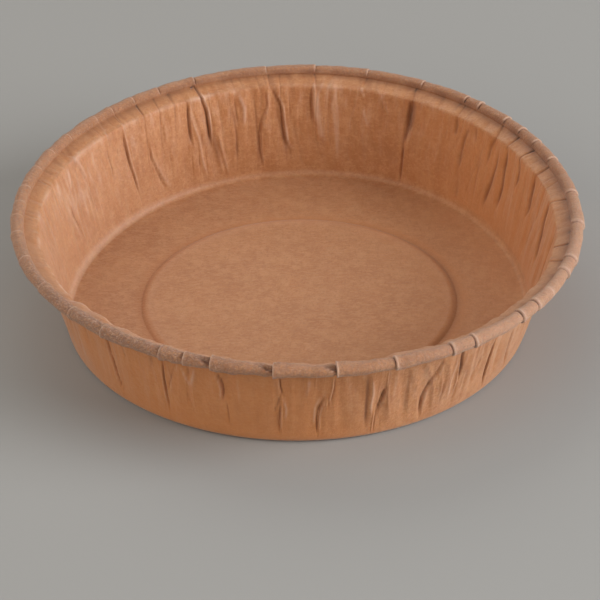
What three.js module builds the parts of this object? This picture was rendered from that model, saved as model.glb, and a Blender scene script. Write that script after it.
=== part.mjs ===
import * as THREE from 'three';

// A pie mold pressed from one disc of kraft board: a flat floor with a raised middle panel,
// a flared wall gathered into pleats, a narrow ledge and a rim rolled outward and down.
// Millimetres, +Z up, standing on z = 0 with the middle of its outline over the origin.

// Board
const PAPER = 0.5;

// Rim, measured to the outside of the roll
const RIM_RADIUS = 92.5;
const HEIGHT = 36.1;
const CURL_RADIUS = 2.05;
const CURL_TUCK = 0.5;
const CURL_START = 165;
const CURL_END = -160;
const CURL_STEPS = 8;

// Ledge between the roll and the wall
const LEDGE_WIDTH = 4.6;
const LEDGE_RISE = 1.7;
const LEDGE_EDGE_RADIUS = 0.7;
const GROOVE_WIDTH = 0.25;
const GROOVE_DEPTH = 2.35;

// Wall and floor
const FLOOR_RADIUS = 77.1;
const CORNER_RADIUS = 2.2;

// Panel pressed up in the middle of the floor
const PANEL_RADIUS = 51;
const PANEL_RISE = 0.7;
const PANEL_SLOPE = 1.4;
const PANEL_EDGE_RADIUS = 1.4;

// Each pleat laps over the one before it, going counter-clockwise seen from above
const LAP_STEP = 0.45;
const LAP_WIDTH = 0.7;
const FOLD_WIDTH = 2.4;
const FOLD_DEPTH = 1.6;

// Pleats: [azimuth in degrees, share of the fold's depth in the wall, positive into the bowl]
const PLEATS = [
  [-173, 0.3], [-161, 0.3], [-150, 0.4], [-137, 0.6], [-131, 0.4], [-120, 0.7], [-113, 0.4],
  [-107, 0.5], [-95, 0.6], [-84, 0.7], [-73, 0.8], [-61, 0.7], [-55, 0.6], [-44, 0.8],
  [-36, 0.5], [-27, -0.3], [-20, -0.4], [-14, -0.2], [-7, -0.4], [5, -0.5], [12, -0.3],
  [19, -0.5], [26, -0.4], [32, -0.6], [38, -0.5], [46, -0.6], [51, -0.4], [63, -1],
  [74, -0.5], [86, -0.7], [96, -0.8], [104, -0.6], [111, -0.8], [115, -0.6], [121, -0.4],
  [127, -0.5], [134, -0.8], [140, -0.5], [150, -0.3], [158, -0.7], [165, -0.5], [178, -0.5],
];

// Hand-pressed board isn't quite round: [waves around, how far out, azimuth of a crest]
const RIM_WAVES = [[2, 1.75, 106], [3, 0.9, 79.5]];
const FLOOR_WAVES = [[2, 3, 86], [3, 0.75, 77.5]];

const KRAFT = new THREE.MeshStandardMaterial({ color: 0xb27a56, roughness: 0.9, metalness: 0 });

const radians = THREE.MathUtils.degToRad;

// The board's middle surface, from the centre of the floor to the free edge inside the roll.
// A station has its place, the direction of the upper face, and the share it takes in the
// waves of the floor's edge, in the wall's height, in its folds and in the lap of the pleats.
// Both faces of the board pass through it, or only the upper one where the lower needs no point.
function station(place, upper, shares, bothFaces = true) {
  return { place, upper, bothFaces, ...shares };
}

function upperSide(from, to) {
  const along = to.clone().sub(from).normalize();
  return new THREE.Vector2(-along.y, along.x);
}

// Stations round the corner between the straight runs a-b and b-c
function corner(a, b, c, radius, steps, shares) {
  const before = upperSide(a, b);
  const turn = Math.atan2(before.cross(upperSide(b, c)), before.dot(upperSide(b, c)));
  const side = Math.sign(turn);
  const reach = radius * Math.tan(Math.abs(turn) / 2);
  const start = b.clone().add(a.clone().sub(b).setLength(reach));
  const middle = start.clone().addScaledVector(before, radius * side);
  return Array.from({ length: steps + 1 }, (_, k) => {
    const upper = before.clone().rotateAround(new THREE.Vector2(), (turn * k) / steps);
    const place = middle.clone().addScaledVector(upper, -radius * side);
    return station(place, upper, shares, k === 0 || k === steps);
  });
}

function boardStations() {
  const low = PAPER / 2;
  const curlMiddle = new THREE.Vector2(RIM_RADIUS - CURL_RADIUS, HEIGHT - CURL_RADIUS);
  const curlBoard = CURL_RADIUS - PAPER / 2;
  const centre = new THREE.Vector2(0, low + PANEL_RISE);
  const panelEdge = new THREE.Vector2(PANEL_RADIUS - PANEL_SLOPE, low + PANEL_RISE);
  const panelFoot = new THREE.Vector2(PANEL_RADIUS, low);
  const floorEdge = new THREE.Vector2(FLOOR_RADIUS, low);
  const groove = new THREE.Vector2(curlMiddle.x - curlBoard - GROOVE_WIDTH, HEIGHT - GROOVE_DEPTH);
  const wallTop = new THREE.Vector2(groove.x - LEDGE_WIDTH, groove.y - LEDGE_RISE);
  const wallSide = upperSide(floorEdge, wallTop);

  const onPanel = { waves: 0, height: 0, fold: 0, lap: 0 };
  const onFloorEdge = { waves: 1, height: 0, fold: 0, lap: 0 };
  const lowOnWall = { waves: 1, height: 0.4, fold: 0.4, lap: 0.1 };
  const highOnWall = { waves: 1, height: 0.75, fold: 0.8, lap: 0.3 };
  const onWallTop = { waves: 1, height: 1, fold: 1, lap: 0.5 };
  const inGroove = { waves: 1, height: 1, fold: 0.25, lap: 0.6 };

  const stations = [
    station(centre, new THREE.Vector2(0, 1), onPanel),
    ...corner(centre, panelEdge, panelFoot, PANEL_EDGE_RADIUS, 1, onPanel),
    station(panelFoot, new THREE.Vector2(0, 1), onPanel),
    ...corner(panelFoot, floorEdge, wallTop, CORNER_RADIUS, 2, onFloorEdge),
    station(floorEdge.clone().lerp(wallTop, lowOnWall.height), wallSide, lowOnWall),
    station(floorEdge.clone().lerp(wallTop, highOnWall.height), wallSide, highOnWall),
    ...corner(floorEdge, wallTop, groove, LEDGE_EDGE_RADIUS, 1, onWallTop),
    station(groove, upperSide(wallTop, groove).add(new THREE.Vector2(-1, 0)).normalize(), inGroove),
  ];
  for (let k = 0; k <= CURL_STEPS; k += 1) {
    const angle = THREE.MathUtils.lerp(CURL_START, CURL_END, k / CURL_STEPS);
    const upper = new THREE.Vector2(Math.cos(radians(angle)), Math.sin(radians(angle)));
    const tucked = Math.max(0, angle / CURL_END);
    const place = curlMiddle.clone().addScaledVector(upper, curlBoard - CURL_TUCK * tucked);
    const inCurl = { waves: 1, height: 1, fold: 0, lap: 1 - tucked };
    stations.push(station(place, upper, inCurl, k % 2 === 0));
  }
  return stations;
}

// Columns of the sheet, four to a pleat: where its fold starts, the two sides of the lap, and
// the middle of the panel that runs on to the next pleat. A panel stands highest just past
// its own lap and sinks towards the next.
function pleatColumns() {
  const lap = THREE.MathUtils.radToDeg(LAP_WIDTH / RIM_RADIUS);
  const fold = THREE.MathUtils.radToDeg(FOLD_WIDTH / RIM_RADIUS);
  return PLEATS.flatMap(([azimuth, share], k) => {
    const depth = share * FOLD_DEPTH;
    const next = k + 1 < PLEATS.length ? PLEATS[k + 1][0] : PLEATS[0][0] + 360;
    const panel = (azimuth + lap / 2 + next - fold) / 2;
    return [
      { azimuth: azimuth - fold, fold: 0, lap: -0.3 },
      { azimuth: azimuth - lap / 2, fold: depth, lap: -0.4 },
      { azimuth: azimuth + lap / 2, fold: depth * 0.3, lap: 0.6 },
      { azimuth: panel, fold: 0, lap: 0 },
    ];
  });
}

// How far the sheet stands out of round at an azimuth, as a share of its radius
function outOfRound(waves, radius, azimuth) {
  const reach = waves.map(([count, size, crest]) => size * Math.cos(count * radians(azimuth - crest)));
  return reach.reduce((sum, value) => sum + value, 0) / radius;
}

function pieMold() {
  const stations = boardStations();
  const lower = stations.filter((s) => s.bothFaces).map((s) => ({ ...s, face: -PAPER / 2 }));
  const upper = stations.map((s) => ({ ...s, face: PAPER / 2 })).reverse();
  const profile = [...lower, ...upper];
  const outline = profile.map((s) => s.place.clone().addScaledVector(s.upper, s.face));
  outline[0].x = 0;
  outline[outline.length - 1].x = 0;

  const columns = pleatColumns();
  const geometry = new THREE.LatheGeometry(outline, columns.length);
  const position = geometry.attributes.position;
  for (let k = 0; k < position.count; k += 1) {
    const column = columns[Math.floor(k / profile.length) % columns.length];
    const point = profile[k % profile.length];
    const move = column.fold * point.fold + column.lap * LAP_STEP * point.lap;
    const spot = outline[k % profile.length].clone().addScaledVector(point.upper, move);
    const floorShape = outOfRound(FLOOR_WAVES, FLOOR_RADIUS, column.azimuth) * point.waves;
    const rimShape = outOfRound(RIM_WAVES, RIM_RADIUS, column.azimuth);
    const radius = spot.x * (1 + THREE.MathUtils.lerp(floorShape, rimShape, point.height));
    const azimuth = radians(column.azimuth);
    position.setXYZ(k, radius * Math.cos(azimuth), radius * Math.sin(azimuth), spot.y);
  }
  geometry.computeBoundingBox();
  const middle = geometry.boundingBox.getCenter(new THREE.Vector3());
  geometry.translate(-middle.x, -middle.y, 0);
  geometry.computeVertexNormals();

  const mesh = new THREE.Mesh(geometry, KRAFT);
  mesh.name = 'pie_mold';
  return mesh;
}

const mold = new THREE.Group();
mold.add(pieMold());

export default mold;
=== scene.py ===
"""Looks of a pie mold pressed from one disc of kraft board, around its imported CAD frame.

The board is one closed shell: its upper face runs from the middle of the floor up the wall,
over the ledge and round the roll of the rim, and its lower face runs back the same way.
Every point is moved along the board's own normal by pleats, creases and crumples, by nearly the
same amount on both faces. Azimuths are degrees, counter-clockwise from +X seen from above, and a
place on the wall is a share of its height, 0 at the floor and 1 at the ledge.
"""

import math

import bpy
import numpy as np
from mathutils import Matrix


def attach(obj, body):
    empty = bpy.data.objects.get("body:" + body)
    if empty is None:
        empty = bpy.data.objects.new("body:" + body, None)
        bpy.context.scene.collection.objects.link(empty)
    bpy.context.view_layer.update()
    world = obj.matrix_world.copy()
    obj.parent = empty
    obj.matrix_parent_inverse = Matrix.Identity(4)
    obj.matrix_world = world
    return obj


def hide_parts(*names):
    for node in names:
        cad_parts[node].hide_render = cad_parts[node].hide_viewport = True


MM = 0.001
MOLD = "pie_mold"

# Board and profile, in millimetres, as in the solid
PAPER = 0.5
RIM_RADIUS = 92.5
HEIGHT = 36.1
CURL_RADIUS = 2.05
CURL_TUCK = 0.5
CURL_START = 165.0
CURL_END = -160.0
LEDGE_WIDTH = 4.6
LEDGE_RISE = 1.7
LEDGE_EDGE_RADIUS = 0.7
GROOVE_WIDTH = 0.25
GROOVE_DEPTH = 2.35
GROOVE_RADIUS = 0.35
FLOOR_RADIUS = 77.1
CORNER_RADIUS = 2.2
PANEL_RADIUS = 51.0
PANEL_RISE = 0.7
PANEL_SLOPE = 1.4
PANEL_EDGE_RADIUS = 5.0
PANEL_FOOT_RADIUS = 0.9

# Where the axis that the mold was turned about lies from the middle of its outline
AXIS_X = 0.48
AXIS_Y = -0.73

# Out of round: waves around, how far out in mm, azimuth of a crest
RIM_WAVES = ((2, 1.75, 106.0), (3, 0.9, 79.5))
FLOOR_WAVES = ((2, 3.0, 86.0), (3, 0.75, 77.5))

# Laps of the roll: azimuth, lift of the lap in mm, depth of the gap before it, length of the
# tuck before it (0 where there is none), and the place round the roll where the gap is widest
LAPS = (
    (-173, 0.25, 0.2, 0, 60), (-163, 0.2, 0.1, 0, 60), (-152, 0.2, 0.1, 0, 60),
    (-141, 0.3, 0.3, 0, 50), (-131.5, 0.35, 0.4, 0, 50), (-117.8, 0.5, 0.4, 0, 60),
    (-112.8, 0.45, 0.7, 0, 90), (-107.3, 0.6, 0.9, 8.5, 95), (-95.2, 0.6, 1.0, 7.5, 80),
    (-83.2, 0.65, 1.0, 7.0, 80), (-72, 0.45, 0.8, 0, 60), (-60.5, 0.4, 0.8, 0, 50),
    (-55.5, 0.45, 1.0, 0, 10), (-43.2, 0.45, 1.0, 0, 70), (-38.2, 0.4, 0.9, 0, 75),
    (-33, 0.1, 0.1, 0, 60), (-25.2, 0.45, 0.7, 0, 50), (-20.5, 0.4, 0.7, 0, 80),
    (-7, 0.5, 0.6, 0, 70), (5.2, 0.3, 0.4, 0, 90), (19.2, 0.3, 0.4, 0, 90),
    (27, 0.35, 0.5, 0, 90), (32.8, 0.35, 0.6, 0, 110), (38.2, 0.35, 0.6, 0, 110),
    (46.5, 0.45, 0.8, 0, 130), (50.5, 0.4, 0.7, 0, 110), (61.8, 0.3, 0.3, 0, 100),
    (74.5, 0.3, 0.3, 0, 100), (85.8, 0.3, 0.3, 0, 100), (96.2, 0.25, 0.2, 0, 100),
    (112, 0.4, 0.6, 0, 125), (120.5, 0.25, 0.35, 0, 130), (127, 0.2, 0.3, 0, 130),
    (133, 0.2, 0.3, 0, 130), (137.8, 0.2, 0.3, 0, 130), (147, 0.15, 0.2, 0, 120),
    (154, 0.15, 0.2, 0, 120), (161, 0.2, 0.2, 0, 110), (169, 0.2, 0.2, 0, 110),
    (175, 0.2, 0.2, 0, 110), (180.5, 0.2, 0.2, 0, 100),
)

# Thin laps across the ledge: azimuth at the roll, azimuth at the wall, step in mm
LEDGE_LAPS = (
    (38, 37, 0.2), (32, 32, 0.2), (25.5, 26, 0.25), (17.8, 17.8, 0.25), (11.8, 11.5, 0.1),
    (4, 4.8, 0.25), (-9, -8.5, 0.25), (-13.8, -14, 0.25), (-20.5, -20, 0.25),
    (-26.5, -27, 0.25), (-39, -38, 0.2), (-44, -44, 0.2), (-55, -54, 0.2), (-60, -60, 0.2),
    (-72, -71, 0.2), (-83, -83, 0.2), (-95, -94, 0.2), (-107, -108, 0.2), (-118, -117, 0.2),
    (-131, -132, 0.2), (-150, -150, 0.2), (50, 50, 0.1), (63, 62.5, 0.1), (74.5, 75, 0.1),
    (86, 85.5, 0.15), (96, 96, 0.15), (112.5, 111.8, 0.35), (120.2, 120.2, 0.2),
    (127, 127.5, 0.2), (133, 133.2, 0.2), (137.5, 138.8, 0.2), (152, 151, 0.2),
    (164, 165, 0.15), (172, 172, 0.15), (178.5, 179, 0.15), (-173, -172, 0.15),
)

# Creases that show on the inside of the wall: depth, half width, lip (over 0 on the
# counter-clockwise side, under 0 on the other), then the line down the wall
INSIDE_CREASES = (
    (1.6, 1.0, -0.3, ((62.6, 1.02), (62.9, 0.85), (63.3, 0.66), (64.1, 0.46))),
    (1.3, 2.0, 0, ((62.1, 1.03), (62.5, 0.88), (63.1, 0.62))),
    (0.9, 0.5, 0.1, ((63.8, 0.52), (64.1, 0.25), (64.2, 0.02))),
    (0.9, 0.7, -0.5, ((86.4, 1.02), (86.5, 0.8), (86, 0.55))),
    (-0.5, 0.9, 0, ((85.4, 1.0), (84.8, 0.65), (84.1, 0.46), (82.2, 0.35))),
    (0.3, 0.6, 0, ((85.6, 0.45), (84.6, 0.25), (83, 0.1))),
    (-0.4, 0.9, 0, ((81, 1.0), (81.6, 0.8), (80.8, 0.6), (80, 0.1))),
    (0.35, 0.6, 0, ((82.3, 0.95), (82.8, 0.6), (82, 0.3))),
    (-0.5, 0.5, 0, ((75.2, 1.03), (74, 0.9))),
    (-0.5, 0.5, 0, ((74.5, 0.8), (73, 0.58))),
    (0.35, 0.9, 0, ((76.5, 0.98), (77, 0.7), (76, 0.5))),
    (0.4, 0.8, -0.35, ((71.8, 1.0), (69.8, 0.86), (68.3, 0.72))),
    (0.45, 0.8, 0, ((90.9, 0.65), (90.2, 0.46), (89.2, 0.3), (88.8, 0.06))),
    (0.9, 0.55, -0.5, ((95.8, 1.0), (94.2, 0.87), (93.4, 0.75), (93.2, 0.6), (92.8, 0.42), (91.6, 0.28))),
    (0.5, 1.4, 0, ((92.8, 0.42), (91.8, 0.28), (91.5, 0.18))),
    (0.5, 0.6, -0.35, ((97.1, 0.98), (96.8, 0.8), (98, 0.67))),
    (0.8, 0.55, -0.2, ((97.2, 0.76), (98.2, 0.64), (98.8, 0.5), (98.8, 0.3), (98.4, 0.1))),
    (0.4, 0.9, 0.3, ((96.7, 0.62), (96.2, 0.55))),
    (0.7, 0.6, 0, ((104.3, 0.93), (104, 0.76), (103.7, 0.6))),
    (-0.6, 0.7, 0, ((103.4, 1.0), (101.9, 0.8), (102.2, 0.58))),
    (0.35, 0.8, 0, ((101.2, 0.9), (101.2, 0.6), (102, 0.4))),
    (0.35, 1.0, 0, ((104.6, 0.45), (104.6, 0.3))),
    (0.95, 0.5, -0.55, ((112.6, 1.1), (111.8, 0.96), (111, 0.83), (110.8, 0.62), (110.9, 0.45))),
    (0.3, 0.6, -0.35, ((109.4, 0.58), (108.7, 0.4), (107.9, 0.2), (107.2, 0.06))),
    (-0.3, 0.6, 0, ((110.2, 0.62), (109.4, 0.43), (107.9, 0.1))),
    (0.6, 0.5, 0, ((114.5, 0.9), (113.8, 0.75), (112.8, 0.6), (112.9, 0.45))),
    (-0.45, 0.5, 0, ((115, 0.85), (114.5, 0.7), (113.6, 0.58), (113.2, 0.3), (112.2, 0.1))),
    (0.75, 0.5, -0.2, ((115.3, 0.98), (115.8, 0.77), (115.7, 0.6), (115.3, 0.48))),
    (0.3, 0.5, 0, ((114.9, 0.45), (114, 0.25), (113.3, 0.08))),
    (0.25, 0.5, 0, ((111.7, 0.4), (111, 0.22), (110.4, 0.08))),
    (0.3, 0.7, 0, ((118.8, 0.95), (118.4, 0.78))),
    (0.35, 0.6, -0.2, ((122.5, 0.86), (122.8, 0.62))),
    (0.65, 0.45, -0.25, ((127.2, 0.7), (127.2, 0.54), (126.5, 0.42), (125.2, 0.26), (123.5, 0.1))),
    (-0.3, 0.7, 0, ((126.2, 0.5), (124.8, 0.3), (122.2, 0.12))),
    (0.35, 0.5, 0, ((129.5, 0.8), (129.8, 0.62))),
    (1.0, 0.5, -0.3, ((133.8, 0.99), (134, 0.81), (133.8, 0.58), (133.2, 0.41), (132.8, 0.22))),
    (0.3, 0.5, 0, ((132.7, 0.25), (132.2, 0.06))),
    (0.5, 0.5, 0, ((137.8, 0.88), (136.2, 0.73))),
    (0.7, 0.5, 0, ((139.4, 0.9), (139.8, 0.76), (139.5, 0.64), (139.9, 0.5))),
    (0.3, 0.6, 0, ((142.2, 0.85), (141.6, 0.7))),
    (0.5, 0.6, -0.3, ((152, 1.04), (150.2, 0.82), (149.5, 0.68))),
    (0.4, 0.5, 0, ((150, 0.6), (148.5, 0.45), (147.6, 0.33))),
    (0.25, 0.7, 0, ((147.3, 0.8), (146.5, 0.6))),
    (-0.4, 0.7, 0, ((155.2, 0.98), (156.5, 0.78))),
    (1.0, 0.42, 0, ((158.9, 0.7), (158.8, 0.54), (158, 0.38), (157, 0.2))),
    (0.6, 0.45, 0, ((164.5, 0.92), (164.5, 0.73), (164.4, 0.6))),
    (-0.3, 0.6, 0, ((162, 1.0), (162.5, 0.8))),
    (0.3, 0.6, 0, ((172, 0.95), (172, 0.7))),
    (0.6, 0.42, 0, ((179, 0.75), (177.9, 0.55))),
    (0.3, 0.7, 0, ((-174, 0.7), (-175.5, 0.45))),
    (0.85, 0.9, 0, ((50.3, 1.0), (49.8, 0.89), (50.1, 0.76))),
    (0.9, 1.0, 0, ((45, 0.99), (46.8, 0.82), (47.6, 0.6), (47.7, 0.45))),
    (0.45, 1.3, 0, ((47.7, 0.45), (47.2, 0.08))),
    (0.7, 0.8, 0, ((43.7, 1.0), (43.5, 0.82))),
    (0.9, 0.9, 0, ((36.8, 1.02), (38, 0.88), (38.6, 0.65))),
    (1.0, 0.85, 0, ((34.5, 0.92), (35.2, 0.68), (36.2, 0.47), (37.9, 0.18))),
    (1.3, 0.95, 0, ((31.5, 1.0), (31.8, 0.75), (31.3, 0.54), (32.6, 0.25))),
    (0.9, 0.9, 0, ((25.9, 1.0), (24.8, 0.8), (25.6, 0.66))),
    (1.0, 0.9, 0, ((18.2, 0.98), (18.2, 0.84), (17.5, 0.6), (18.6, 0.48))),
    (1.4, 1.0, 0, ((4.8, 1.02), (6.2, 0.82), (5, 0.62), (3.6, 0.3))),
    (1.4, 1.0, 0, ((-6.2, 1.0), (-5.2, 0.77), (-5.2, 0.6), (-5.4, 0.35))),
    (0.5, 0.6, 0, ((11.4, 1.0), (11.8, 0.8), (11.2, 0.6))),
    (0.6, 0.8, 0, ((-13.8, 1.0), (-14, 0.8), (-13.5, 0.6))),
    (0.6, 0.8, 0, ((-20.5, 1.0), (-20.2, 0.8), (-20, 0.6))),
    (0.3, 1.0, 0, ((54, 0.9), (53.6, 0.5), (53.8, 0.2))),
    (0.3, 1.0, 0, ((57.5, 0.8), (57.2, 0.4))),
    (0.3, 1.0, 0, ((41, 0.75), (41.5, 0.4), (41.8, 0.2))),
    (0.3, 1.0, 0, ((28.5, 0.8), (28.8, 0.4), (28.8, 0.2))),
    (0.3, 1.0, 0, ((21.8, 0.85), (22, 0.5), (22.4, 0.2))),
    (0.35, 1.0, 0, ((13.5, 0.6), (14.2, 0.2))),
    (0.35, 1.0, 0, ((0.5, 0.7), (0.2, 0.3))),
)

# Creases that show on the outside of the wall, in the same form
OUTSIDE_CREASES = (
    (0.7, 0.5, 0.2, ((-150.6, 0.8), (-150.4, 0.58), (-150, 0.4), (-148.6, 0.33))),
    (0.5, 0.6, 0, ((-155.6, 0.75), (-155.2, 0.45))),
    (0.3, 0.8, 0, ((-145, 0.8), (-144.5, 0.5))),
    (1.0, 0.5, -0.4, ((-137.2, 0.82), (-136.8, 0.59), (-136.2, 0.41), (-135.4, 0.25), (-133.6, 0.1))),
    (0.6, 0.8, 0, ((-132.2, 0.85), (-131.2, 0.6))),
    (0.4, 1.4, 0, ((-123.4, 0.85), (-124.6, 0.58))),
    (0.9, 0.45, -0.2, ((-120.5, 0.84), (-121, 0.56), (-120.8, 0.42), (-120.4, 0.15))),
    (0.8, 0.5, 0.3, ((-116.9, 0.86), (-119.4, 0.56), (-120.4, 0.4))),
    (-0.5, 0.45, 0, ((-116.2, 0.8), (-115, 0.63), (-114.4, 0.58))),
    (-0.5, 0.45, 0, ((-112.8, 0.82), (-113.8, 0.64), (-114.4, 0.58))),
    (0.5, 0.9, 0, ((-114.4, 0.82), (-114.5, 0.66))),
    (0.35, 0.6, 0, ((-115.6, 0.5), (-114.5, 0.31), (-113.6, 0.22))),
    (0.3, 0.6, 0, ((-111.2, 0.5), (-110, 0.31), (-109.8, 0.18))),
    (0.9, 0.65, -0.35, ((-108.2, 0.84), (-106.9, 0.7), (-106.7, 0.6), (-107, 0.45))),
    (0.55, 0.45, 0, ((-106.4, 0.46), (-106, 0.32), (-105.8, 0.16))),
    (-0.25, 0.6, 0, ((-103.5, 0.8), (-103.2, 0.4))),
    (0.9, 0.45, -0.3, ((-94.3, 0.86), (-94.2, 0.69), (-93.4, 0.58))),
    (0.6, 0.55, 0, ((-94.2, 0.61), (-95, 0.5), (-96, 0.38))),
    (0.7, 0.45, 0.3, ((-94.4, 0.5), (-94.8, 0.14))),
    (-0.4, 0.5, 0, ((-94, 0.6), (-93.1, 0.44), (-93.5, 0.28))),
    (-0.3, 0.6, 0, ((-88.2, 0.82), (-88.6, 0.58))),
    (1.0, 0.55, 0.35, ((-84.8, 0.6), (-86, 0.44), (-86.5, 0.32), (-86.6, 0.1))),
    (-0.4, 0.5, 0, ((-85.6, 0.62), (-87, 0.44), (-87.4, 0.2))),
    (0.6, 0.4, -0.4, ((-82.8, 0.85), (-83, 0.69), (-83.5, 0.55), (-85.1, 0.42))),
    (0.8, 1.0, 0, ((-76, 0.84), (-75.9, 0.67), (-76, 0.35), (-76.1, 0.12))),
    (-0.55, 0.45, 0, ((-75, 0.8), (-74.6, 0.58), (-75, 0.43), (-74.7, 0.28))),
    (0.45, 0.35, -0.3, ((-71, 0.84), (-71.3, 0.66), (-71.8, 0.58))),
    (1.3, 0.7, 0.3, ((-71.7, 0.62), (-72.8, 0.44), (-73.9, 0.3))),
    (0.4, 0.4, -0.3, ((-73.9, 0.33), (-74.2, 0.05))),
    (-0.3, 0.7, 0, ((-69.5, 0.8), (-70, 0.4))),
    (0.3, 0.8, 0, ((-66.5, 0.8), (-66.8, 0.4), (-67, 0.15))),
    (1.0, 0.8, 0.35, ((-58.6, 0.78), (-59.6, 0.62), (-61.5, 0.5), (-62.9, 0.33), (-63.1, 0.08))),
    (-0.4, 0.5, 0, ((-55.1, 0.8), (-55, 0.62), (-56, 0.44), (-55.2, 0.2))),
    (1.1, 0.65, 0, ((-54, 0.84), (-53.6, 0.6), (-53.4, 0.4))),
    (0.4, 0.8, 0, ((-53.4, 0.4), (-54.5, 0.1))),
    (0.35, 0.6, 0, ((-57.6, 0.5), (-58.2, 0.15))),
    (0.35, 0.6, 0, ((-51.4, 0.5), (-51.8, 0.1))),
    (0.6, 0.4, 0, ((-46.8, 0.6), (-47.5, 0.45), (-48.7, 0.36), (-49.2, 0.24))),
    (1.2, 0.5, 0.2, ((-43.4, 0.7), (-44.1, 0.35), (-44, 0.1))),
    (0.9, 0.45, 0, ((-36.3, 0.66), (-35.8, 0.42), (-35.2, 0.28), (-34.7, 0.12))),
    (0.3, 0.8, 0, ((-40.2, 0.6), (-40.6, 0.2))),
    (0.5, 0.8, 0, ((-29, 0.8), (-29.5, 0.3))),
)

# How strong the painted highlight on a crest is, how dark the painted shade in a fold, and how broad the
# fold is, on each side of the wall
INSIDE_LOOK = (1.2, 0.66, 0.75)
OUTSIDE_LOOK = (1.25, 0.85, 0.6)

# Radius in mm at which lengths round the wall, the ledge and the roll are measured, and the
# height of the wall laid flat
WALL_RADIUS = 80.0
LEDGE_RADIUS = 86.0
ROLL_RADIUS = 90.5
WALL_TALL = 32.0

# How far a crease reaches to each side of its middle, in degrees
CREASE_REACH = 9.0

# Unevenness: size in mm, seed, fewest and most waves round the mold, how many are summed, lean
WALL_RIPPLES = (
    (0.24, 7, (8, 20), 8, 2.0), (0.20, 5, (25, 60), 12, 3.5),
    (0.09, 59, (60, 100), 12, 4.5), (0.06, 3, (90, 170), 18, 5.0),
)
ROLL_RIPPLES = (
    (0.10, 11, (50, 130), 14, 3.0), (0.16, 13, (15, 50), 10, 1.5),
    (0.05, 43, (140, 260), 16, 6.0),
)
FLOOR_SAG = (0.10, 17, (1, 3), 5, 2.0)

# Colours of the board, linear
KRAFT_BASE = (0.43, 0.18, 0.066, 1.0)
KRAFT_PALE = (0.51, 0.245, 0.108, 1.0)
KRAFT_DARK = (0.33, 0.118, 0.036, 1.0)
# Painted shade in folds; this colour is also that of the pits in the roll
KRAFT_FOLD_SHADE_AND_PIT = (0.19, 0.060, 0.017, 1.0)
# Painted shadow deep in gaps
KRAFT_GAP_SHADOW = (0.06, 0.022, 0.009, 1.0)
KRAFT_RUBBED = (0.28, 0.135, 0.078, 1.0)
# Pale tone of worn streaks and hairs, also used as painted highlight
KRAFT_WORN_AND_HIGHLIGHT = (0.60, 0.385, 0.28, 1.0)
# Painted bounce light: the warm tone where light from the board falls back on it
KRAFT_BOUNCE_LIGHT = (0.50, 0.18, 0.045, 1.0)
KRAFT_SHADER = {
    "Roughness": 0.55, "Specular IOR Level": 0.5, "Sheen Weight": 0.2, "Sheen Roughness": 0.5,
    "Subsurface Weight": 0.12, "Subsurface Radius": (1.0, 0.35, 0.12), "Subsurface Scale": 0.001,
}

# Camera: through it the solid falls on the traced edges of the photograph. How far back and up
# it is, in mm, is measured from the axis that the mold was turned about. Angles are degrees.
CAMERA_LENS = 240.0
CAMERA_SENSOR = 36.0
CAMERA_BACK = 1090.5
CAMERA_UP = 697.6
CAMERA_PITCH = 32.563
CAMERA_ROLL = -0.941
CAMERA_YAW = 0.0126
CAMERA_CLIP_END = 50.0

# Lamps: azimuth and height that each shines from, in degrees, its width in metres, its power
# and its colour. The broad key is low on the right; warmer ones fill from the other sides.
WHITE = (1.0, 1.0, 1.0)
WARM = (1.0, 0.93, 0.84)
LAMPS = (
    ("key", -14.0, 21.0, 1.2, 33.0, WHITE),
    ("back_fill", 118.0, 40.0, 1.6, 9.5, WARM),
    ("left_fill", -152.0, 24.0, 2.0, 14.5, WARM),
    ("front_fill", -100.0, 20.0, 2.0, 8.0, WARM),
    ("top_fill", 0.0, 80.0, 1.4, 2.3, WHITE),
)
LAMP_DISTANCE = 1.6
SKY_STRENGTH = 0.17

STAGE_SHADER = {
    "Base Color": (0.33, 0.330, 0.324, 1.0), "Roughness": 0.9, "Specular IOR Level": 0.1,
}
STAGE_SIZE = 12.0

# How many points go round each part of the two faces
FLOOR_COLUMNS = 200
INSIDE_COLUMNS = 1010
OUTSIDE_COLUMNS = 790
ROLL_COLUMNS = 720

# Rows of points: up the wall and round the roll on each face, then the rest of both
INSIDE_ROWS = (20, 15)
OUTSIDE_ROWS = (16, 7)
PANEL_ROWS = 9
PANEL_EDGE_STEPS = 6
PANEL_FOOT_STEPS = 4
FLOOR_ROWS = 7
CORNER_STEPS = 5
LEDGE_EDGE_STEPS = 4
LEDGE_ROWS = 4
GROOVE_STEPS = 2

# Points crowd together at creases and laps: how much, over how many degrees, and at the most.
# The crowding is worked out on a fine ring of azimuths.
CREASE_CROWDING = (1.6, 0.9)
LAP_CROWDING = (7.0, 0.3)
MOST_CROWDING = 7.0
FINE_AZIMUTHS = 7201

# Loose fibres on the roll: how many, and points along one and round it
FIBRES = 260
FIBRE_STEPS = 5
FIBRE_SIDES = 3

# The loops of points that a row of the board may use
FLOOR, WALL, ROLL = 0, 1, 2

# What each point of the mesh also tells the material
LOOKS = ("painted_shade", "crest", "wall", "roll", "painted_bounce")


def smooth(x):
    """0 under 0, 1 over 1, and a soft step between."""
    x = np.clip(x, 0.0, 1.0)
    return x * x * (3.0 - 2.0 * x)


def bell(x, width):
    """1 at 0, falling off on both sides over about the width."""
    return np.exp(-(x / width) ** 2)


def apart(azimuth, place):
    """Signed angle from place to azimuth, in degrees."""
    return (azimuth - place + 180.0) % 360.0 - 180.0


def facing(azimuth, towards, gain=1.0, start=0.0):
    """Soft step from 0 to 1 round the mold, 1 on the side that lies towards an azimuth, or away
    from it where the gain is under 0."""
    return smooth(np.cos(np.radians(azimuth - towards)) * gain + start)


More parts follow.
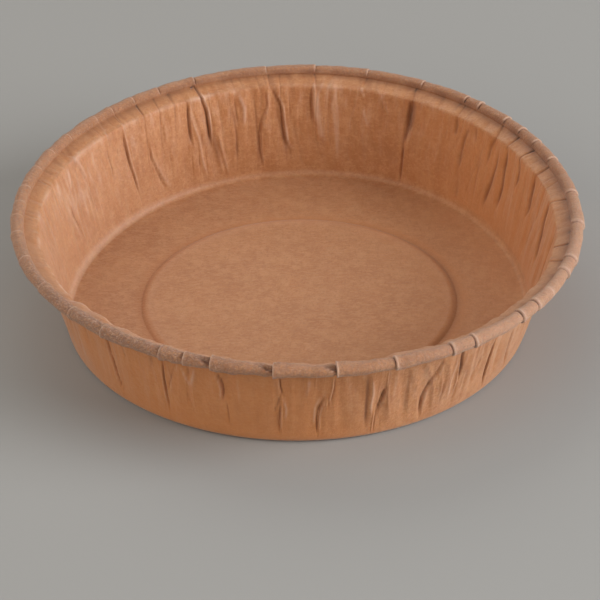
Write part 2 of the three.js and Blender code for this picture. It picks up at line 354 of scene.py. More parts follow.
def ripple(azimuth, height, seed, waves, count, lean):
    """Smooth noise round the mold, even at its seam: a sum of waves with fixed random phases."""
    rng = np.random.default_rng(seed)
    total = np.zeros(np.broadcast(azimuth, height).shape)
    for _ in range(count):
        n = rng.integers(waves[0], waves[1] + 1)
        phase = rng.uniform(0.0, 2.0 * math.pi)
        slope = rng.uniform(-lean, lean)
        total += np.sin(np.radians(azimuth) * n + phase + slope * height)
    return total / math.sqrt(count)


def normal_of(a, b):
    """Unit normal on the upper side of the run from a to b."""
    along = (b - a) / np.hypot(*(b - a))
    return np.array([-along[1], along[0]])


def turn_at(a, b, c):
    """Normal of the run a-b, and the angle by which the run b-c turns from it."""
    before, after = normal_of(a, b), normal_of(b, c)
    return before, math.atan2(before[0] * after[1] - before[1] * after[0], before @ after)


def corner_ends(a, b, c, radius):
    """Where the round of the corner b between the runs a-b and b-c starts and ends."""
    _, turn = turn_at(a, b, c)
    reach = radius * math.tan(abs(turn) / 2.0)
    return b + (a - b) / np.hypot(*(a - b)) * reach, b + (c - b) / np.hypot(*(c - b)) * reach


class Path:
    """Stations along the middle of the board, from the middle of the floor to its free edge.

    A station has its place, the direction of the upper face, its share in the waves of the
    outline and in those of the rim, its place up the wall, round the roll (in degrees) and
    across the ledge, and the loop of points that its row uses."""

    def __init__(self):
        self.rows = []

    def add(self, place, upper, waves, height, wall=-1.0, curl=np.nan, ledge=-1.0, loop=WALL):
        self.rows.append((*place, *upper, waves, height, wall, curl, ledge, loop))

    def run(self, a, b, count, **facts):
        """Stations along a straight run, without its two ends."""
        for k in range(1, count + 1):
            t = k / (count + 1)
            self.add(a + (b - a) * t, normal_of(a, b), **{n: f(t) for n, f in facts.items()})

    def corner(self, a, b, c, radius, steps, **facts):
        """Stations round the corner b between the runs a-b and b-c."""
        before, turn = turn_at(a, b, c)
        side = math.copysign(1.0, turn)
        middle = corner_ends(a, b, c, radius)[0] + before * radius * side
        for k in range(steps + 1):
            angle = turn * k / steps
            cos, sin = math.cos(angle), math.sin(angle)
            upper = np.array([before[0] * cos - before[1] * sin, before[0] * sin + before[1] * cos])
            place = middle - upper * radius * side
            self.add(place, upper, **{n: f(k / steps) for n, f in facts.items()})


def board_path(wall_rows, curl_rows):
    """The whole board as rows of stations, with the same corners as the solid."""
    low = PAPER / 2.0
    curl_middle = np.array([RIM_RADIUS - CURL_RADIUS, HEIGHT - CURL_RADIUS])
    curl_board = CURL_RADIUS - PAPER / 2.0
    centre = np.array([0.0, low + PANEL_RISE])
    panel_edge = np.array([PANEL_RADIUS - PANEL_SLOPE, low + PANEL_RISE])
    panel_foot = np.array([PANEL_RADIUS, low])
    floor_edge = np.array([FLOOR_RADIUS, low])
    groove = np.array([curl_middle[0] - curl_board - GROOVE_WIDTH, HEIGHT - GROOVE_DEPTH])
    wall_top = groove - (LEDGE_WIDTH, LEDGE_RISE)

    def toward(angle):
        return np.array([math.cos(math.radians(angle)), math.sin(math.radians(angle))])

    def level(value):
        return lambda t: value

    edge_start, _ = corner_ends(centre, panel_edge, panel_foot, PANEL_EDGE_RADIUS)
    _, foot_end = corner_ends(panel_edge, panel_foot, floor_edge, PANEL_FOOT_RADIUS)
    floor_end, wall_start = corner_ends(panel_foot, floor_edge, wall_top, CORNER_RADIUS)
    wall_end, ledge_start = corner_ends(floor_edge, wall_top, groove, LEDGE_EDGE_RADIUS)
    low_share, high_share = ((z - low) / (wall_top[1] - low) for z in (wall_start[1], wall_end[1]))

    def climb(t):
        return low_share + (high_share - low_share) * t

    flat = {"waves": level(0.0), "height": level(0.0), "loop": level(FLOOR)}
    high = {"waves": level(1.0), "height": level(1.0)}
    path = Path()
    path.add(centre, np.array([0.0, 1.0]), 0.0, 0.0, loop=FLOOR)
    path.run(centre, edge_start, PANEL_ROWS, **flat)
    path.corner(centre, panel_edge, panel_foot, PANEL_EDGE_RADIUS, PANEL_EDGE_STEPS, **flat)
    path.corner(panel_edge, panel_foot, floor_edge, PANEL_FOOT_RADIUS, PANEL_FOOT_STEPS, **flat)
    path.run(foot_end, floor_end, FLOOR_ROWS, **{**flat, "waves": smooth})
    path.corner(panel_foot, floor_edge, wall_top, CORNER_RADIUS, CORNER_STEPS,
                waves=level(1.0), height=level(0.0), wall=lambda t: 0.03 * t)
    path.run(wall_start, wall_end, wall_rows, waves=level(1.0), height=climb, wall=climb)
    path.corner(floor_edge, wall_top, groove, LEDGE_EDGE_RADIUS, LEDGE_EDGE_STEPS, **high,
                wall=lambda t: high_share + (1.0 - high_share) * t, ledge=lambda t: 0.1 * t)
    path.run(ledge_start, groove, LEDGE_ROWS, **high,
             wall=lambda t: 1.0 + 0.1 * t, ledge=lambda t: 0.1 + 0.85 * t)
    curl_start = curl_middle + curl_board * toward(CURL_START)
    path.corner(wall_top, groove, curl_start, GROOVE_RADIUS, GROOVE_STEPS, **high,
                wall=level(1.12), ledge=level(1.0))
    for k in range(curl_rows):
        angle = CURL_START + (CURL_END - CURL_START) * k / (curl_rows - 1)
        tucked = max(0.0, angle / CURL_END)
        place = curl_middle + toward(angle) * (curl_board - CURL_TUCK * tucked)
        path.add(place, toward(angle), 1.0, 1.0, wall=1.2, curl=angle, ledge=1.2, loop=ROLL)
    return np.array(path.rows)


def columns(count, marks):
    """Azimuths of the points of a loop, closest together at its marks: azimuth, weight, width."""
    fine = np.linspace(-180.0, 180.0, FINE_AZIMUTHS)
    wish = np.ones(fine.shape)
    for azimuth, weight, width in marks:
        wish += weight * bell(apart(fine, azimuth), width)
    wish = np.minimum(wish, MOST_CROWDING)
    filled = np.concatenate([[0.0], np.cumsum((wish[1:] + wish[:-1]) / 2.0)])
    return np.interp(np.linspace(0.0, filled[-1], count + 1)[:-1], filled, fine)


def crease_marks(creases):
    """Marks along creases, for columns. The deeper a crease is, the closer its points are."""
    weight, width = CREASE_CROWDING
    return [(azimuth, weight * min(1.0, abs(depth) + 0.2), width)
            for depth, _, _, line in creases for azimuth, _ in line]


def nearest(x, y, line_x, line_y):
    """Distance of points from a broken line, the side of it that they are on, and their place
    along it as a share of its length."""
    lengths = np.hypot(np.diff(line_x), np.diff(line_y))
    run = np.concatenate([[0.0], np.cumsum(lengths)])
    best = np.full(x.shape, 1e9)
    side = np.zeros(x.shape)
    along = np.zeros(x.shape)
    for k in range(len(line_x) - 1):
        dx, dy = line_x[k + 1] - line_x[k], line_y[k + 1] - line_y[k]
        t = ((x - line_x[k]) * dx + (y - line_y[k]) * dy) / lengths[k] ** 2
        t = np.clip(t, 0.0, 1.0)
        gap_x, gap_y = x - line_x[k] - t * dx, y - line_y[k] - t * dy
        gap = np.hypot(gap_x, gap_y)
        closer = gap < best
        best = np.where(closer, gap, best)
        side = np.where(closer, np.sign(gap_x), side)
        along = np.where(closer, run[k] + t * lengths[k], along)
    return best, side, along / run[-1]


def crease_relief(azimuth, wall, creases, highlight_gain, deep_shade, breadth):
    """Height of the creases over the wall, in mm towards the viewer of that side, and how much
    shade is painted in a fold and how much highlight is painted on a crest at each point."""
    relief, hollow_shade, crest = (np.zeros(azimuth.shape) for _ in range(3))
    for depth, width, lip, line in creases:
        points = np.array(line, float)
        middle = points[:, 0].mean()
        near = np.abs(apart(azimuth, middle)) < CREASE_REACH
        x = np.radians(apart(azimuth[near], middle)) * WALL_RADIUS
        y = wall[near] * WALL_TALL
        line_x = np.radians(apart(points[:, 0], middle)) * WALL_RADIUS
        best, side, share = nearest(x, y, line_x, points[:, 1] * WALL_TALL)
        taper = smooth(np.minimum(share, 1.0 - share) / 0.3 + 0.15)
        narrow = width * (breadth if depth > 0 else 1.0)
        # A sharp bottom in a soft hollow, a lip on one side, and the wall tilted beside it
        middle_of = bell(best, narrow)
        groove = 0.55 * middle_of + 0.45 * np.exp(-best / (2.0 * narrow))
        ridge = bell(best - 1.9 * narrow, narrow) * (side * lip > 0)
        facet = np.sign(lip or 1.0) * side * best * bell(best, 2.4)
        relief[near] += taper * (abs(lip) * ridge + depth * (0.16 * facet - 0.7 * groove))
        # The dark in the bottom of a fold is painted shade; the pale on its lip and along a ridge is
        # painted highlight
        fold_shade = taper * middle_of * deep_shade * max(0.0, depth)
        light = taper * highlight_gain * (1.1 * ridge * abs(lip) + middle_of * max(0.0, -depth))
        hollow_shade[near] = np.maximum(hollow_shade[near], fold_shade)
        crest[near] = np.maximum(crest[near], light)
    return relief, hollow_shade, crest


def wall_relief(azimuth, wall, inner):
    """Move of the wall towards the bowl in mm, and the painted shade and highlight on one side of it."""
    inside, shade_inside, crest_inside = crease_relief(azimuth, wall, INSIDE_CREASES, *INSIDE_LOOK)
    outside, shade_outside, crest_outside = crease_relief(azimuth, wall, OUTSIDE_CREASES, *OUTSIDE_LOOK)
    rise = smooth(wall / 0.4)
    top = smooth((1.12 - wall) / 0.12)
    uneven = sum(size * ripple(azimuth, wall, *waves) for size, *waves in WALL_RIPPLES)

    # Fine lines between the creases: shallow dents with painted shade where a ripple crosses 0, and pale
    # veins of painted highlight
    veins = bell(ripple(azimuth, wall, 47, (60, 110), 9, 7.0), 0.22)
    veins *= smooth(0.3 + ripple(azimuth, wall, 53, (4, 16), 6, 6.0))
    lines = bell(ripple(azimuth, wall, 19, (26, 52), 9, 6.0), 0.24)
    lines *= smooth(0.5 + ripple(azimuth, wall, 23, (3, 14), 6, 5.0))
    finer = 0.7 * bell(ripple(azimuth, wall, 31, (70, 120), 9, 8.0), 0.3)
    finer *= smooth(0.4 + ripple(azimuth, wall, 37, (4, 18), 6, 6.0))
    lines = np.maximum(lines, finer)

    # They are strongest at the left of the back inside, and at the right of the front outside
    busy = 1.0 + 0.9 * bell(apart(azimuth, 108.0), 22.0)
    busy += 1.3 * bell(apart(azimuth, -62.0), 32.0) * (not inner)
    lines = lines * busy
    creases = (inside - outside) * smooth((1.13 - wall) / 0.08)
    move = creases + uneven * rise * top - 0.16 * lines * rise * top
    if inner:
        crest = crest_inside + 0.4 * crest_outside + 0.3 * veins * rise
        return move, shade_inside + 0.28 * lines * rise, crest
    crest = crest_outside + 0.4 * crest_inside + 0.25 * veins
    return move, shade_outside + 0.22 * lines * rise, crest


def ledge_relief(azimuth, ledge):
    """Move of the ledge upward in mm, and how strong the painted shade along the line of each lap is."""
    move, line = np.zeros(azimuth.shape), np.zeros(azimuth.shape)
    for at_roll, at_wall, step in LEDGE_LAPS:
        place = at_wall + (at_roll - at_wall) * ledge
        gap = np.radians(apart(azimuth, place)) * LEDGE_RADIUS
        move += step * 0.5 * np.exp(-np.abs(gap) / 2.5) * (gap > 0)
        move -= step * 1.2 * bell(gap + 0.1, 0.35)
        line = np.maximum(line, 2.4 * step * bell(gap + 0.1, 0.3))
    return move, line


def groove_shadow(azimuth, least):
    """How much shadow is painted in the groove beside the roll, mostly at the back and on the right."""
    share = 0.5 + 0.5 * np.cos(np.radians(azimuth - 45.0))
    uneven = 0.85 + 0.2 * ripple(azimuth, 0.0 * azimuth, 41, (20, 60), 8, 0.0)
    return np.maximum(least, smooth(share * 1.3 - 0.15) * np.clip(uneven, 0.5, 1.1))


def roll_relief(azimuth, curl):
    """Move of the roll outward from its own middle in mm, how much shadow is painted at each point
    in a gap and under the flap of a tuck, how far past the last lap in mm, and how high on the flap of a
    tuck."""
    places, lifts, gaps, tucks, wides = np.array(sorted(LAPS), float).T
    turned = (azimuth - places[0]) % 360.0 + places[0]
    last = np.searchsorted(places, turned, side="right") - 1
    following = (last + 1) % len(places)
    past = np.radians(turned - places[last]) * ROLL_RADIUS
    ahead = np.radians(apart(places[following], azimuth) % 360.0) * ROLL_RADIUS

    # A stretch stands highest at its own lap and sinks into the slot before the next
    move = lifts[last] * (0.75 * np.exp(-past / 7.0) + 0.25 * np.exp(-past / 1.0))
    move -= 0.35 * lifts[following] * np.exp(-ahead / 3.0)
    slot = bell(ahead, 0.36) * bell(curl - wides[following], 75.0)
    move -= gaps[following] * 0.8 * slot

    # A tuck is a pit that widens towards the lap, under a raised flap
    share = np.clip(ahead / np.maximum(tucks[following], 0.1), 0.0, 1.0)
    edge = 12.0 + 105.0 * share
    reach = (tucks[following] > 0) * (share < 1.0)
    pit = smooth((curl - edge) / 26.0) * smooth((1.0 - share) / 0.7) * reach
    pit *= smooth((150.0 - curl) / 40.0)
    move -= 1.3 * pit
    flap = bell(curl - edge + 8.0, 11.0) * (1.0 - share) * reach * smooth(ahead / 0.6)
    move += 0.42 * flap
    under = bell(curl - edge - 14.0, 14.0) * (1.0 - share) * reach
    # Painted shadow: in the slot before a lap, and under the flap and in the pit of a tuck
    hollow_shade = np.maximum(slot * gaps[following], 0.8 * under + 0.3 * pit)

    # Crumples, most at the front and on the inside of the roll at the left of the back
    crushed = 0.5 + 0.9 * bell(apart(azimuth, -100.0), 22.0)
    crushed += 0.5 * bell(apart(azimuth, 115.0), 35.0) * smooth((curl - 80.0) / 40.0)
    for size, *waves in ROLL_RIPPLES:
        move += size * crushed * ripple(azimuth, curl / 90.0, *waves)
    return move, hollow_shade, past, flap


def wall_looks(azimuth, wall, inner):
    """Move, painted shade and painted highlight of the wall and of the ledge's slope."""
    low = smooth(wall / 0.06)
    relief, hollow_shade, ridge = wall_relief(azimuth, wall, inner)
    # Painted highlight: the inside is painted paler on the left, which faces the light, along the edge
    # below the ledge and at its foot
    crest = 0.32 * facing(azimuth, 10.0, -1.0) * inner * smooth((1.0 - wall) / 0.05)
    crest += ridge * low
    edge = 0.3 + 0.3 * ripple(azimuth, wall, 29, (6, 40), 8, 3.0)
    edge = np.clip(edge, 0.0, 0.7) * smooth(apart(azimuth, 60.0) / 50.0)
    crest += edge * bell(wall - 0.995, 0.018) * inner
    foot = 0.26 * smooth(apart(azimuth, 45.0) / 50.0 + 0.3)
    crest += foot * bell(wall - 0.03, 0.035) * inner
    return relief * low, hollow_shade * low, crest


def ledge_looks(azimuth, ledge, inner):
    """Move, painted shade and painted highlight that the laps and the groove add to the ledge."""
    lap, line = ledge_relief(azimuth, np.clip(ledge, 0.0, 1.0))
    left = facing(azimuth, 0.0, -1.6, -0.1) * inner
    right = facing(azimuth, 20.0, 1.6, -0.3) * inner
    # Painted shade along the lap lines, over the ledge on its left and right and towards the groove;
    # painted highlight on the lap lines on the left
    painted_shade = line * groove_shadow(azimuth, 0.15)
    painted_shade += (0.4 * left + 0.26 * right) * smooth((ledge - 0.2) / 0.3)
    painted_shade += 0.7 * groove_shadow(azimuth, 0.05) * smooth((ledge - 0.48) / 0.45)
    return lap, painted_shade, 0.7 * line * left


def roll_looks(azimuth, curl):
    """Move, painted shadow and painted highlight of the roll."""
    move, slot, past, flap = roll_relief(azimuth, curl)
    ends = smooth((curl - CURL_END) / 110.0) * smooth((CURL_START - curl) / 12.0 + 0.2)
    # Painted shadow in the groove under the inside of the roll
    deep_shade = groove_shadow(azimuth, 0.05) * smooth((curl - 112.0) / 36.0)
    # Painted highlight on the edge of each lap and on the flaps, and painted sheen on the right front
    crest = (1.5 * np.exp(-past / 0.35) + 0.8 * flap) * ends
    crest += 0.42 * facing(azimuth, -30.0, 2.0, -1.0)
    return move * ends, 1.6 * slot * ends + 0.7 * deep_shade, crest


def panel_ring(azimuth, r):
    """Dark line and pale band of the ring round the panel, broadest on the left and right. The dark
    line is partly a burnished press line and partly painted shade in its foot; the pale band is painted
    highlight on its shoulder.
    """
    on_floor = r < FLOOR_RADIUS - 8.0
    left = facing(azimuth, 15.0, -1.0)
    across = np.cos(np.radians(azimuth)) ** 2
    past_line = r - PANEL_RADIUS + 0.1 - 1.1 * left
    painted_shade = (0.36 + 0.14 * across) * bell(past_line, 1.1 + 1.0 * across) * on_floor
    return painted_shade, 0.34 * bell(r - PANEL_RADIUS + 3.4, 1.6) * on_floor


def bounce_light(azimuth, r, wall, inner):
    """How much warm bounce light is painted on the board: where light from the board across the bowl falls
    on it.
    """
    if not inner:
        return 0.85 * facing(azimuth, 25.0, -1.5, 0.2) + 0.3 * bell(wall, 0.2)
    up = smooth(wall / 0.1) * smooth((1.02 - wall) / 0.06) * facing(azimuth, -4.0, 1.0, 0.05)
    flat = 0.4 * smooth(np.cos(np.radians(azimuth)) * r / 60.0) + 0.9 * bell(r - PANEL_RADIUS, 2.4)
    return np.where(wall > 0.0, 0.8 * up, flat)


def shell_points(path, azimuth, face):
    """Points of one face of the board, rows of the path by columns, and what LOOKS names."""
    r, z, nr, nz, waves, height, wall, curl, ledge, _ = (path[:, k, None] for k in range(10))
    az = np.broadcast_to(azimuth[None, :], (len(path), len(azimuth)))
    wall, curl, ledge = (np.broadcast_to(value, az.shape) for value in (wall, curl, ledge))
    move, painted_shade, crest = (np.zeros(az.shape) for _ in range(3))
    inner = face > 0
    in_roll = np.isfinite(curl[:, 0])
    on_wall = (wall[:, 0] > 0.0) & ~in_roll
    on_ledge = (ledge[:, 0] >= 0.0) & ~in_roll
    parts = []
    if on_wall.any():
        parts.append((on_wall, wall_looks(az[on_wall], wall[on_wall], inner)))
    if on_ledge.any():
        parts.append((on_ledge, ledge_looks(az[on_ledge], ledge[on_ledge], inner)))
    if in_roll.any():
        parts.append((in_roll, roll_looks(az[in_roll], curl[in_roll])))
    if inner:
        parts.append((slice(None), (0.0, *panel_ring(az, r))))
    for rows, (part_move, part_shade, part_crest) in parts:
        move[rows] += part_move
        painted_shade[rows] += part_shade
        crest[rows] += part_crest

    # The outline is out of round, and the floor sags a little between its middle and its edge
    out = np.zeros(az.shape)
    for share, wave_set, radius in (
        (1.0 - height, FLOOR_WAVES, FLOOR_RADIUS), (height, RIM_WAVES, RIM_RADIUS),
    ):
        for count, size, top in wave_set:
            out = out + share * waves * size / radius * np.cos(np.radians(count * (az - top)))
    size, *waves = FLOOR_SAG
    sag = size * ripple(az, r / 25.0, *waves) * smooth(r / 20.0) * smooth((74.0 - r) / 20.0)
    sag = np.where(wall > 0.0, 0.0, sag) * inner
    radius = (r + nr * (move + face)) * (1.0 + out)
    up = z + nz * (move + face) + sag
    angle = np.radians(az)
    places = np.stack([radius * np.cos(angle), radius * np.sin(angle), up], axis=-1)
    climbed = np.clip(wall, 0.0, 1.0) * smooth((1.03 - wall) / 0.05)
    rolled = in_roll[:, None] * (0.62 + 0.38 * bell(apart(az, -135.0), 30.0))
    painted_bounce = np.where(in_roll[:, None], 0.0, bounce_light(az, r, wall, inner))
    return places, painted_shade, crest, climbed, rolled, painted_bounce


def zip_loops(a, b, around_a, around_b):
    """Faces between two closed loops: quads where their azimuths agree, else triangles."""
    if len(a) == len(b) and np.array_equal(around_a, around_b):
        return list(zip(a, np.roll(a, -1), np.roll(b, -1), b))
    faces = []
    next_a, next_b = np.append(around_a[1:], 180.0), np.append(around_b[1:], 180.0)
    i = j = 0
    while i < len(a) or j < len(b):
        here, there = a[i % len(a)], b[j % len(b)]
        if j == len(b) or (i < len(a) and next_a[i] <= next_b[j]):
            faces.append((here, a[(i + 1) % len(a)], there))
            i += 1
        else:
            faces.append((here, b[(j + 1) % len(b)], there))
            j += 1
    return faces


def loose_fibres(first):
    """Thin curved fibres that stand off the roll, most of them at the front left."""
    rng = np.random.default_rng(7)
    points, faces = [], []
    middle_r, middle_z = RIM_RADIUS - CURL_RADIUS, HEIGHT - CURL_RADIUS
    steps = np.linspace(0.0, 1.0, FIBRE_STEPS)
    for k in range(FIBRES):
        spread = rng.uniform(0.0, 360.0) if k % 4 == 0 else rng.normal(-130.0, 16.0)
        azimuth = float(apart(np.array(spread), 0.0))
        curl = rng.uniform(15.0, 125.0)
        length, thick = rng.uniform(0.8, 2.4), rng.uniform(0.035, 0.06)
        heading, bend = rng.uniform(0.0, 2.0 * math.pi), rng.uniform(-1.4, 1.4)
        lift = rng.uniform(0.05, 0.4)
        way = heading + bend * steps
        az = azimuth + np.degrees(np.cumsum(np.cos(way)) * length / FIBRE_STEPS / RIM_RADIUS)
        around = curl + np.degrees(np.cumsum(np.sin(way)) * length / FIBRE_STEPS / CURL_RADIUS)
        bulge = lift * np.sin(math.pi * steps * rng.uniform(0.5, 1.0))
        away = CURL_RADIUS + roll_relief(az, around)[0] + bulge
        out = sum(size / RIM_RADIUS * np.cos(np.radians(n * (az - top))) for n, size, top in RIM_WAVES)
        for side in range(FIBRE_SIDES):
            turn = math.radians(side * 360.0 / FIBRE_SIDES)
            r = (middle_r + np.cos(np.radians(around)) * away + thick * math.cos(turn)) * (1.0 + out)
            z = middle_z + np.sin(np.radians(around)) * away + thick * math.sin(turn)
            points.append(np.stack([r * np.cos(np.radians(az)), r * np.sin(np.radians(az)), z], axis=-1))
        start = first + FIBRE_STEPS * FIBRE_SIDES * k
        rings = [[start + FIBRE_STEPS * side + step for side in range(FIBRE_SIDES)]
                 for step in range(FIBRE_STEPS)]
        for near, far in zip(rings, rings[1:]):
            for side in range(FIBRE_SIDES):
                following = (side + 1) % FIBRE_SIDES
                faces.append((near[side], far[side], far[following], near[following]))
        faces.append(tuple(rings[0]))
        faces.append(tuple(rings[-1][::-1]))
    return np.concatenate(points), faces


def build_mold():
    """Points, faces and looks of the closed shell and its loose fibres."""
    floor_loop = columns(FLOOR_COLUMNS, [])
    roll_loop = columns(ROLL_COLUMNS, [(lap[0], *LAP_CROWDING) for lap in LAPS])
    inside_loop = columns(INSIDE_COLUMNS, crease_marks(INSIDE_CREASES))
    outside_loop = columns(OUTSIDE_COLUMNS, crease_marks(OUTSIDE_CREASES))
    sides = (
        (board_path(*OUTSIDE_ROWS), -PAPER / 2.0, (floor_loop, outside_loop, roll_loop), 1),
        (board_path(*INSIDE_ROWS), PAPER / 2.0, (floor_loop, inside_loop, roll_loop), -1),
    )
    points, looks, loops = [], [], []
    for path, face, around, way in sides:
        rows = [None] * len(path)
        for loop in (FLOOR, WALL, ROLL):
            chosen = np.flatnonzero(path[:, -1] == loop)
            places, *look = shell_points(path[chosen], around[loop], face)
            for k, row in enumerate(chosen):
                rows[row] = (places[k], np.stack([value[k] for value in look], axis=-1), around[loop])
        middle = (rows[0][0][:1], rows[0][1][:1], None)
        for place, look, azimuth in [middle, *rows[1:]][::way]:
            points.append(place)
            looks.append(look)
            loops.append(azimuth)
    faces = []
    first = np.cumsum([0] + [len(place) for place in points])
    ids = [np.arange(start, start + len(place)) for start, place in zip(first, points)]
    for k in range(len(points) - 1):
        a, b = ids[k], ids[k + 1]
        if len(a) == 1:
            faces += list(zip(np.repeat(a, len(b)), np.roll(b, -1), b))
        elif len(b) == 1:
            faces += list(zip(a, np.roll(a, -1), np.repeat(b, len(a))))
        else:
            faces += zip_loops(a, b, loops[k], loops[k + 1])
    fibres, fibre_faces = loose_fibres(first[-1])
    points.append(fibres)
    # The loose fibres get the full pale tone, partly their own paler colour and partly painted highlight
    looks.append(np.tile([float(name == "crest") for name in LOOKS], (len(fibres), 1)))
    return np.concatenate(points), faces + fibre_faces, np.concatenate(looks)


def add_mold(material):
    points, faces, looks = build_mold()
    mesh = bpy.data.meshes.new("kraft_mold")
    shift = np.array([AXIS_X, AXIS_Y, 0.0])
    mesh.from_pydata(((points + shift) * MM).tolist(), [], [[int(i) for i in f] for f in faces])
    mesh.update()
    for k, name in enumerate(LOOKS):
        layer = mesh.attributes.new(name, "FLOAT", "POINT")
        layer.data.foreach_set("value", looks[:, k].astype(np.float32))
    mesh.shade_smooth()
    mesh.materials.append(material)
    mold = bpy.data.objects.new("kraft_mold", mesh)
    bpy.context.collection.objects.link(mold)
    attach(mold, "root")
    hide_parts(MOLD)


def set_inputs(node, values):
    for name, value in values.items():
        node.inputs[name].default_value = value


def kraft_material():
    material = bpy.data.materials.new("kraft_board")
    material.use_nodes = True
    nodes, links = material.node_tree.nodes, material.node_tree.links
    nodes.clear()
    shader = nodes.new("ShaderNodeBsdfPrincipled")
    output = nodes.new("ShaderNodeOutputMaterial")
    links.new(shader.outputs[0], output.inputs[0])
    set_inputs(shader, KRAFT_SHADER)
    place = nodes.new("ShaderNodeTexCoord")

    def noise(scale, detail, roughness=0.55, stretch=None):
        node = nodes.new("ShaderNodeTexNoise")
        set_inputs(node, {"Scale": scale, "Detail": detail, "Roughness": roughness})
        if stretch is None:
            links.new(place.outputs["Object"], node.inputs["Vector"])
        else:
            mapping = nodes.new("ShaderNodeMapping")
            mapping.inputs["Scale"].default_value = stretch
            links.new(place.outputs["Object"], mapping.inputs["Vector"])
            links.new(mapping.outputs[0], node.inputs["Vector"])
        return node.outputs["Fac"]

    def mix(under, over, share):
        """The colour over, laid on a colour or a socket by a share from a socket."""
        node = nodes.new("ShaderNodeMix")
        node.data_type = "RGBA"
        links.new(share, node.inputs["Factor"])
        if isinstance(under, tuple):
            node.inputs[6].default_value = under
        else:
            links.new(under, node.inputs[6])
        node.inputs[7].default_value = over
        return node.outputs[2]

    def between(value, low, high, to_low, to_high):
        node = nodes.new("ShaderNodeMapRange")
        node.interpolation_type = "SMOOTHSTEP"
        links.new(value, node.inputs["Value"])
        set_inputs(node, {"From Min": low, "From Max": high, "To Min": to_low, "To Max": to_high})
        return node.outputs[0]

    def attribute(name):
        node = nodes.new("ShaderNodeAttribute")
        node.attribute_name = name
        return node.outputs["Fac"]

    def times(a, b):
        node = nodes.new("ShaderNodeMath")
        node.operation = "MULTIPLY"
        links.new(a, node.inputs[0])
        links.new(b, node.inputs[1])
        return node.outputs[0]

    def bump(strength, distance, height, below=None):
        node = nodes.new("ShaderNodeBump")
        set_inputs(node, {"Strength": strength, "Distance": distance})
        links.new(height, node.inputs["Height"])
        if below is not None:
            links.new(below, node.inputs["Normal"])
        return node.outputs[0]

    painted_shade, crest, wall, roll, painted_bounce = (attribute(name) for name in LOOKS)
    clouds = between(noise(45.0, 4.0), 0.35, 0.7, 0.0, 0.5)
    mottling = between(noise(260.0, 3.0, 0.6), 0.4, 0.68, 0.0, 0.55)
    long_fibres = between(noise(950.0, 3.0, 0.7, (1.0, 0.4, 1.0)), 0.48, 0.66, 0.0, 0.42)
    cross_fibres = between(noise(1000.0, 3.0, 0.7, (0.4, 1.0, 1.0)), 0.48, 0.66, 0.0, 0.55)
    specks = between(noise(1500.0, 2.0, 0.7), 0.52, 0.68, 0.0, 0.4)
    color = mix(KRAFT_BASE, KRAFT_DARK, clouds)
    color = mix(color, KRAFT_PALE, mottling)
    color = mix(color, KRAFT_DARK, long_fibres)
    color = mix(color, KRAFT_PALE, cross_fibres)
    color = mix(color, KRAFT_DARK, specks)

    # Streaks up the wall
    streaks = noise(420.0, 3.0, 0.6, (1.0, 1.0, 0.1))
    color = mix(color, KRAFT_DARK, times(wall, between(streaks, 0.5, 0.75, 0.0, 0.6)))
    color = mix(color, KRAFT_WORN_AND_HIGHLIGHT, times(wall, between(streaks, 0.5, 0.28, 0.0, 0.28)))

    # The rubbed, fibrous roll
    fuzz = between(noise(1300.0, 4.0, 0.8), 0.38, 0.58, 0.1, 1.0)
    pits = between(noise(1700.0, 3.0, 0.7), 0.52, 0.66, 0.0, 0.35)
    hairs = between(noise(2400.0, 3.0, 0.75, (0.4, 0.6, 1.0)), 0.52, 0.64, 0.0, 0.5)
    hairs = times(hairs, between(roll, 0.62, 1.0, 0.4, 1.2))
    color = mix(color, KRAFT_RUBBED, times(roll, fuzz))
    color = mix(color, KRAFT_FOLD_SHADE_AND_PIT, times(roll, pits))
    color = mix(color, KRAFT_WORN_AND_HIGHLIGHT, times(roll, hairs))

    # Painted bounce light
    color = mix(color, KRAFT_BOUNCE_LIGHT, between(painted_bounce, 0.0, 1.0, 0.0, 0.6))
    # Painted highlight
    color = mix(color, KRAFT_WORN_AND_HIGHLIGHT, between(crest, 0.05, 1.0, 0.0, 0.7))
    # Painted shade in folds, gaps and grooves
    color = mix(color, KRAFT_FOLD_SHADE_AND_PIT, between(painted_shade, 0.02, 0.9, 0.0, 0.72))
    # Painted shadow deep in gaps
    color = mix(color, KRAFT_GAP_SHADOW, between(painted_shade, 0.75, 1.5, 0.0, 0.85))
    links.new(color, shader.inputs["Base Color"])

    grain = bump(0.6, 0.00035, noise(900.0, 4.0, 0.65))
    fuzzy = bump(1.0, 0.001, times(roll, noise(1000.0, 5.0, 0.75)), grain)
    creping = bump(0.8, 0.0005, times(wall, streaks), fuzzy)
    links.new(creping, shader.inputs["Normal"])
    return material


def add_stage():
    material = bpy.data.materials.new("studio_floor")
    material.use_nodes = True
    set_inputs(material.node_tree.nodes["Principled BSDF"], STAGE_SHADER)
    half = STAGE_SIZE / 2.0
    mesh = bpy.data.meshes.new("studio_floor")
    corners = [(-half, -half, 0.0), (half, -half, 0.0), (half, half, 0.0), (-half, half, 0.0)]
    mesh.from_pydata(corners, [], [(0, 1, 2, 3)])
    mesh.materials.append(material)
    floor = bpy.data.objects.new("studio_floor", mesh)
    bpy.context.collection.objects.link(floor)


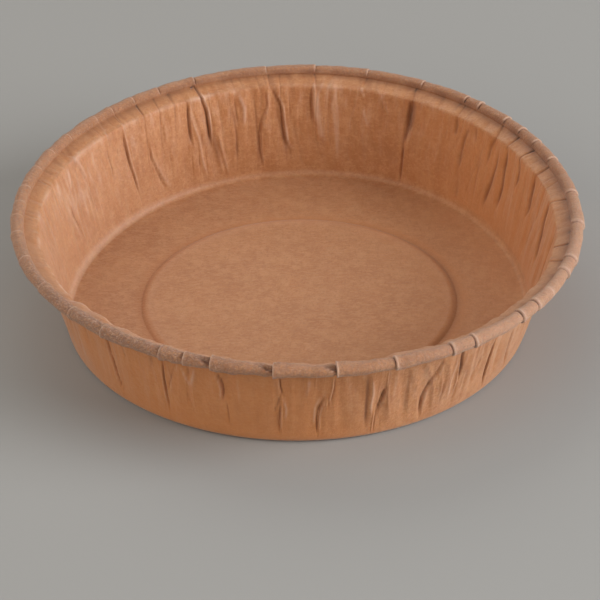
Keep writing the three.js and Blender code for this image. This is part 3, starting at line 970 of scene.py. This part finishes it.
def looking(place, forward, roll=0.0):
    """Matrix of a camera or lamp at a place that looks along forward, level but for its roll."""
    forward = forward / np.linalg.norm(forward)
    right = np.cross(forward, (0.0, 0.0, 1.0))
    right /= np.linalg.norm(right)
    up = np.cross(right, forward)
    cos, sin = math.cos(roll), math.sin(roll)
    side, top = cos * right + sin * up, cos * up - sin * right
    axes = (side, top, -forward, place)
    return Matrix([[*(float(c[row]) for c in axes)] for row in range(3)] + [[0.0, 0.0, 0.0, 1.0]])


def add_lights():
    world = bpy.data.worlds.new("studio_sky")
    world.use_nodes = True
    sky = {"Color": (1.0, 1.0, 1.0, 1.0), "Strength": SKY_STRENGTH}
    set_inputs(world.node_tree.nodes["Background"], sky)
    bpy.context.scene.world = world

    for name, azimuth, height, width, power, color in LAMPS:
        lamp = bpy.data.lights.new(name, "AREA")
        lamp.shape = "DISK"
        lamp.size = width
        lamp.energy = power
        lamp.color = color
        across, up = math.radians(azimuth), math.radians(height)
        away = np.array([math.cos(up) * math.cos(across), math.cos(up) * math.sin(across), math.sin(up)])
        light = bpy.data.objects.new(name, lamp)
        light.matrix_world = looking(away * LAMP_DISTANCE, -away)
        bpy.context.collection.objects.link(light)


def add_camera():
    data = bpy.data.cameras.new("camera")
    data.sensor_width = CAMERA_SENSOR
    data.lens = CAMERA_LENS
    data.clip_end = CAMERA_CLIP_END
    camera = bpy.data.objects.new("camera", data)
    pitch, yaw = math.radians(CAMERA_PITCH), math.radians(CAMERA_YAW)
    forward = np.array([math.sin(yaw) * math.cos(pitch), math.cos(yaw) * math.cos(pitch), -math.sin(pitch)])
    place = np.array([AXIS_X, AXIS_Y - CAMERA_BACK, CAMERA_UP]) * MM
    camera.matrix_world = looking(place, forward, math.radians(CAMERA_ROLL))
    bpy.context.collection.objects.link(camera)
    bpy.context.scene.camera = camera


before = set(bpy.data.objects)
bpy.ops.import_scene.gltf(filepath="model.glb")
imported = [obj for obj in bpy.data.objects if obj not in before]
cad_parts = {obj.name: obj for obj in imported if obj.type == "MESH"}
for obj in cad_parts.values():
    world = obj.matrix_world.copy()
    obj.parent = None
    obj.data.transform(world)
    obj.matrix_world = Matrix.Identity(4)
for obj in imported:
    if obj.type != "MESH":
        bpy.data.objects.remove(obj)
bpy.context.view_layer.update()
bpy.context.scene.view_settings.view_transform = "Standard"
add_camera()
add_lights()
add_stage()
add_mold(kraft_material())
